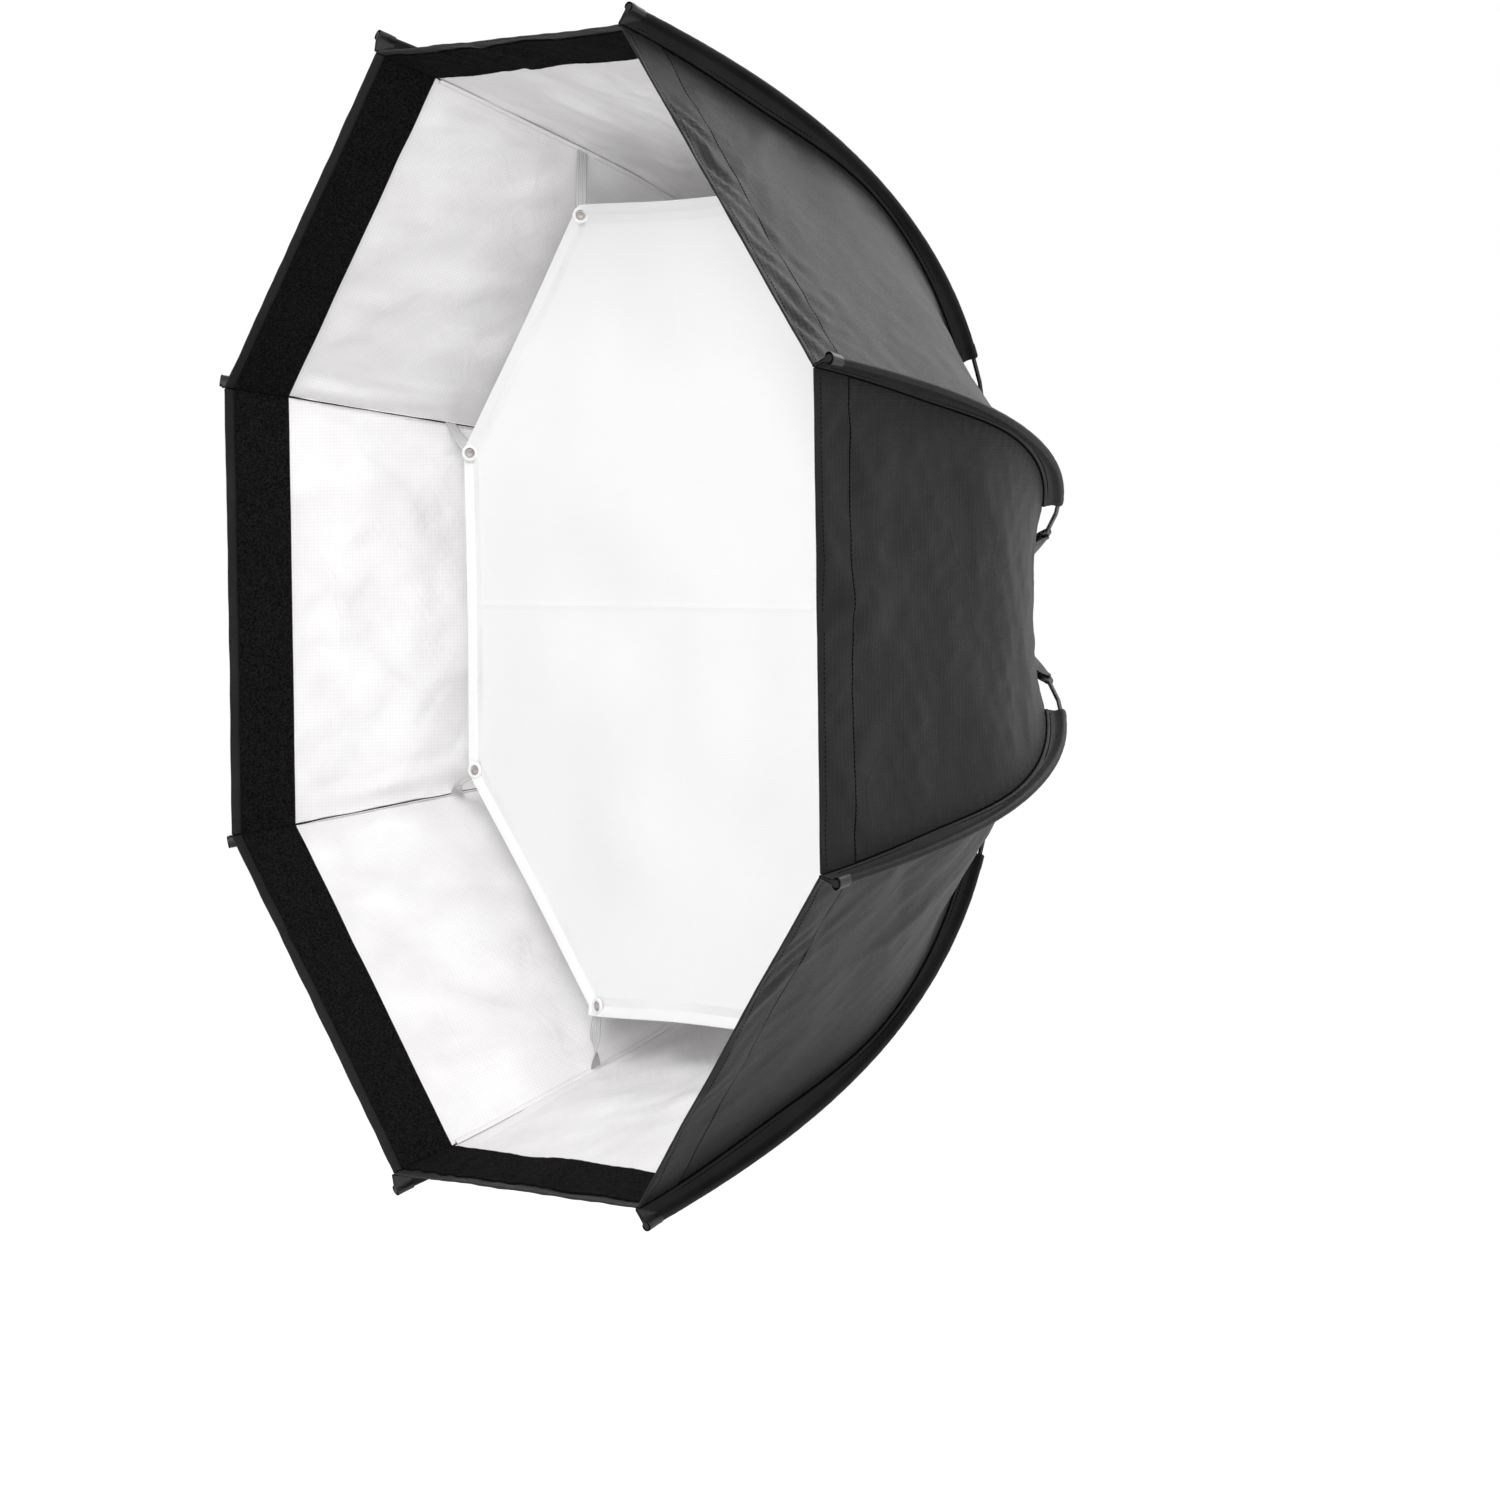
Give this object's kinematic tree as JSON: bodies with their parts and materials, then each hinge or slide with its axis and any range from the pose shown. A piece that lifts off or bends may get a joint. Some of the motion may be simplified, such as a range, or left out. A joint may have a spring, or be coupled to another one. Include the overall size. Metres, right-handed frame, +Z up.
{
  "type": "studio softbox",
  "caption": "Octagonal deep studio softbox: black fabric bowl with silver lining on a folding umbrella rod frame, an inner diffuser and a bayonet speedring for a studio flash.",
  "frame": {"origin": "centre of the speedring's rear face, the flat ring face that seats on the flash head", "axes": "+Y out of the back towards the flash head, -Y the way the light leaves, +Z up, so the bowl has a flat side at the top and at the bottom"},
  "size_m": [0.9588, 0.4653, 0.9588],
  "materials": {
    "outer_fabric": "matte black ripstop nylon with a soft sheen",
    "silver_lining": "silver-white reflective lining with a fine printed grid",
    "sleeve_webbing": "dense black nylon, double thickness, with stitched edges",
    "loop_fleece": "black brushed loop of a hook-and-loop fastener, fuzzy and matte",
    "diffusion_cloth": "white translucent diffusion cloth with a taped edge",
    "elastic": "light grey ribbed elastic webbing",
    "black_steel": "black enamelled spring steel, satin",
    "spring_steel": "bright blued spring steel strip",
    "cast_aluminium": "die-cast aluminium, satin black anodised",
    "bright_steel": "zinc-plated pressed steel with fine turning marks",
    "moulded_plastic": "black glass-filled nylon, finely textured"
  },
  "bodies": {
    "hub": {"hub_ring": "cast_aluminium", "bayonet_ring": "bright_steel", "catch_spring_1": "spring_steel", "catch_spring_2": "spring_steel", "catch_spring_3": "spring_steel", "catch_spring_4": "spring_steel"},
    "runner": {"runner_ring": "moulded_plastic"},
    "diffuser": {"inner_diffuser": "diffusion_cloth"},
    "rod_1": {"rod_1": "black_steel", "sleeve_1": "sleeve_webbing", "panel_1": "outer_fabric", "loop_strip_1": "loop_fleece", "strap_1": "elastic"},
    "strut_1": {"strut_1": "black_steel"},
    "rod_2": {"rod_2": "black_steel", "sleeve_2": "sleeve_webbing", "panel_2": "outer_fabric", "loop_strip_2": "loop_fleece", "strap_2": "elastic"},
    "strut_2": {"strut_2": "black_steel"},
    "rod_3": {"rod_3": "black_steel", "sleeve_3": "sleeve_webbing", "panel_3": "outer_fabric", "loop_strip_3": "loop_fleece", "strap_3": "elastic"},
    "strut_3": {"strut_3": "black_steel"},
    "rod_4": {"rod_4": "black_steel", "sleeve_4": "sleeve_webbing", "panel_4": "outer_fabric", "loop_strip_4": "loop_fleece", "strap_4": "elastic"},
    "strut_4": {"strut_4": "black_steel"},
    "rod_5": {"rod_5": "black_steel", "sleeve_5": "sleeve_webbing", "panel_5": "outer_fabric", "loop_strip_5": "loop_fleece", "strap_5": "elastic"},
    "strut_5": {"strut_5": "black_steel"},
    "rod_6": {"rod_6": "black_steel", "sleeve_6": "sleeve_webbing", "panel_6": "outer_fabric", "loop_strip_6": "loop_fleece", "strap_6": "elastic"},
    "strut_6": {"strut_6": "black_steel"},
    "rod_7": {"rod_7": "black_steel", "sleeve_7": "sleeve_webbing", "panel_7": "outer_fabric", "loop_strip_7": "loop_fleece", "strap_7": "elastic"},
    "strut_7": {"strut_7": "black_steel"},
    "rod_8": {"rod_8": "black_steel", "sleeve_8": "sleeve_webbing", "panel_8": "outer_fabric", "loop_strip_8": "loop_fleece", "strap_8": "elastic"},
    "strut_8": {"strut_8": "black_steel"}
  },
  "joints": [
    {"name": "rod_1_fold", "type": "hinge", "parent": "hub", "child": "rod_1", "pos_m": [0.06929, -0.009, 0.0287], "axis": [0.3827, 0, -0.9239], "range_deg": [0, 40], "deforming": ["panel_1", "loop_strip_1", "strap_1"]},
    {"name": "rod_2_fold", "type": "hinge", "parent": "hub", "child": "rod_2", "pos_m": [0.0287, -0.009, 0.06929], "axis": [0.9239, 0, -0.3827], "range_deg": [0, 40], "deforming": ["panel_2", "loop_strip_2", "strap_2"]},
    {"name": "rod_3_fold", "type": "hinge", "parent": "hub", "child": "rod_3", "pos_m": [-0.0287, -0.009, 0.06929], "axis": [0.9239, 0, 0.3827], "range_deg": [0, 40], "deforming": ["panel_3", "loop_strip_3", "strap_3"]},
    {"name": "rod_4_fold", "type": "hinge", "parent": "hub", "child": "rod_4", "pos_m": [-0.06929, -0.009, 0.0287], "axis": [0.3827, 0, 0.9239], "range_deg": [0, 40], "deforming": ["panel_4", "loop_strip_4", "strap_4"]},
    {"name": "rod_5_fold", "type": "hinge", "parent": "hub", "child": "rod_5", "pos_m": [-0.06929, -0.009, -0.0287], "axis": [-0.3827, 0, 0.9239], "range_deg": [0, 40], "deforming": ["panel_5", "loop_strip_5", "strap_5"]},
    {"name": "rod_6_fold", "type": "hinge", "parent": "hub", "child": "rod_6", "pos_m": [-0.0287, -0.009, -0.06929], "axis": [-0.9239, 0, 0.3827], "range_deg": [0, 40], "deforming": ["panel_6", "loop_strip_6", "strap_6"]},
    {"name": "rod_7_fold", "type": "hinge", "parent": "hub", "child": "rod_7", "pos_m": [0.0287, -0.009, -0.06929], "axis": [-0.9239, 0, -0.3827], "range_deg": [0, 40], "deforming": ["panel_7", "loop_strip_7", "strap_7"]},
    {"name": "rod_8_fold", "type": "hinge", "parent": "hub", "child": "rod_8", "pos_m": [0.06929, -0.009, -0.0287], "axis": [-0.3827, 0, -0.9239], "range_deg": [0, 40], "deforming": ["panel_8", "loop_strip_8", "strap_8"]},
    {"name": "strut_1_swing", "type": "hinge", "parent": "rod_1", "child": "strut_1", "pos_m": [0.1406, -0.02422, 0.05824], "axis": [0.3827, 0, -0.9239], "range_deg": [-80.01, 0]},
    {"name": "strut_2_swing", "type": "hinge", "parent": "rod_2", "child": "strut_2", "pos_m": [0.05824, -0.02422, 0.1406], "axis": [0.9239, 0, -0.3827], "range_deg": [-80.01, 0]},
    {"name": "strut_3_swing", "type": "hinge", "parent": "rod_3", "child": "strut_3", "pos_m": [-0.05824, -0.02422, 0.1406], "axis": [0.9239, 0, 0.3827], "range_deg": [-80.01, 0]},
    {"name": "strut_4_swing", "type": "hinge", "parent": "rod_4", "child": "strut_4", "pos_m": [-0.1406, -0.02422, 0.05824], "axis": [0.3827, 0, 0.9239], "range_deg": [-80.01, 0]},
    {"name": "strut_5_swing", "type": "hinge", "parent": "rod_5", "child": "strut_5", "pos_m": [-0.1406, -0.02422, -0.05824], "axis": [-0.3827, 0, 0.9239], "range_deg": [-80.01, 0]},
    {"name": "strut_6_swing", "type": "hinge", "parent": "rod_6", "child": "strut_6", "pos_m": [-0.05824, -0.02422, -0.1406], "axis": [-0.9239, 0, 0.3827], "range_deg": [-80.01, 0]},
    {"name": "strut_7_swing", "type": "hinge", "parent": "rod_7", "child": "strut_7", "pos_m": [0.05824, -0.02422, -0.1406], "axis": [-0.9239, 0, -0.3827], "range_deg": [-80.01, 0]},
    {"name": "strut_8_swing", "type": "hinge", "parent": "rod_8", "child": "strut_8", "pos_m": [0.1406, -0.02422, -0.05824], "axis": [-0.3827, 0, -0.9239], "range_deg": [-80.01, 0]},
    {"name": "runner_slide", "type": "slide", "parent": "hub", "child": "runner", "axis": [0, -1, 0], "range_m": [0, 0.09198], "deforming": ["catch_spring_1", "catch_spring_2", "catch_spring_3", "catch_spring_4"]},
    {"name": "diffuser_slide", "type": "slide", "parent": "hub", "child": "diffuser", "axis": [0, -1, 0], "range_m": [0, 0.15645], "deforming": ["inner_diffuser"]}
  ],
  "couplings": [
    {"joint": "rod_2_fold", "follows": "rod_1_fold", "ratio": 1},
    {"joint": "rod_3_fold", "follows": "rod_1_fold", "ratio": 1},
    {"joint": "rod_4_fold", "follows": "rod_1_fold", "ratio": 1},
    {"joint": "rod_5_fold", "follows": "rod_1_fold", "ratio": 1},
    {"joint": "rod_6_fold", "follows": "rod_1_fold", "ratio": 1},
    {"joint": "rod_7_fold", "follows": "rod_1_fold", "ratio": 1},
    {"joint": "rod_8_fold", "follows": "rod_1_fold", "ratio": 1},
    {"joint": "strut_1_swing", "follows": "rod_1_fold", "ratio": -2},
    {"joint": "strut_2_swing", "follows": "rod_1_fold", "ratio": -2},
    {"joint": "strut_3_swing", "follows": "rod_1_fold", "ratio": -2},
    {"joint": "strut_4_swing", "follows": "rod_1_fold", "ratio": -2},
    {"joint": "strut_5_swing", "follows": "rod_1_fold", "ratio": -2},
    {"joint": "strut_6_swing", "follows": "rod_1_fold", "ratio": -2},
    {"joint": "strut_7_swing", "follows": "rod_1_fold", "ratio": -2},
    {"joint": "strut_8_swing", "follows": "rod_1_fold", "ratio": -2},
    {"joint": "runner_slide", "follows": "rod_1_fold", "m_per_rad": 0.13162},
    {"joint": "diffuser_slide", "follows": "rod_1_fold", "m_per_rad": 0.22395}
  ]
}
